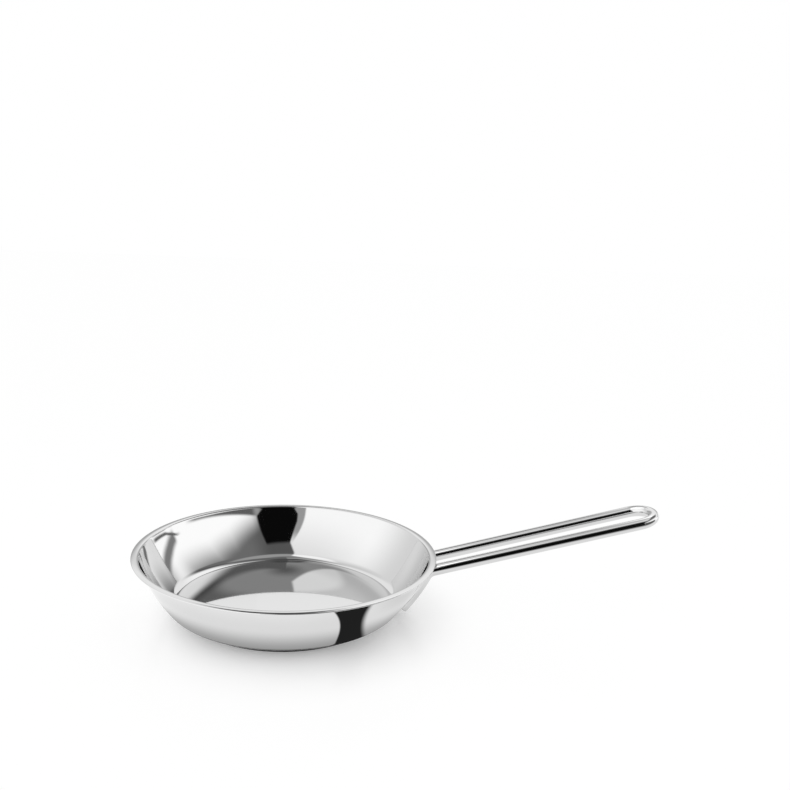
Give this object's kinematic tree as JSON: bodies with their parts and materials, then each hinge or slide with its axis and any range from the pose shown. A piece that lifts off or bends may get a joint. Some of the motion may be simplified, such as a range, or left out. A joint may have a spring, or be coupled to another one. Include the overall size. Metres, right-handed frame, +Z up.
{
  "type": "frying pan",
  "caption": "Small stainless steel frying pan: drawn bowl with a flat turned-out lip, sandwich base closed by a rounded cap, and a long handle loop bent from one round rod.",
  "frame": {"origin": "centre of the flat base, on the surface that the pan stands on", "axes": "+X from the middle of the pan along the handle, +Z up, +Y to the left of the handle"},
  "size_m": [0.3745, 0.21, 0.0742],
  "materials": {
    "polished_steel": "polished",
    "disc_aluminium": "satin",
    "cap_steel": "satin",
    "rod_steel": "polished"
  },
  "bodies": {
    "root": {"pan_shell": "polished_steel", "heat_disc": "disc_aluminium", "base_cap": "cap_steel", "handle_loop": "rod_steel"}
  },
  "joints": []
}
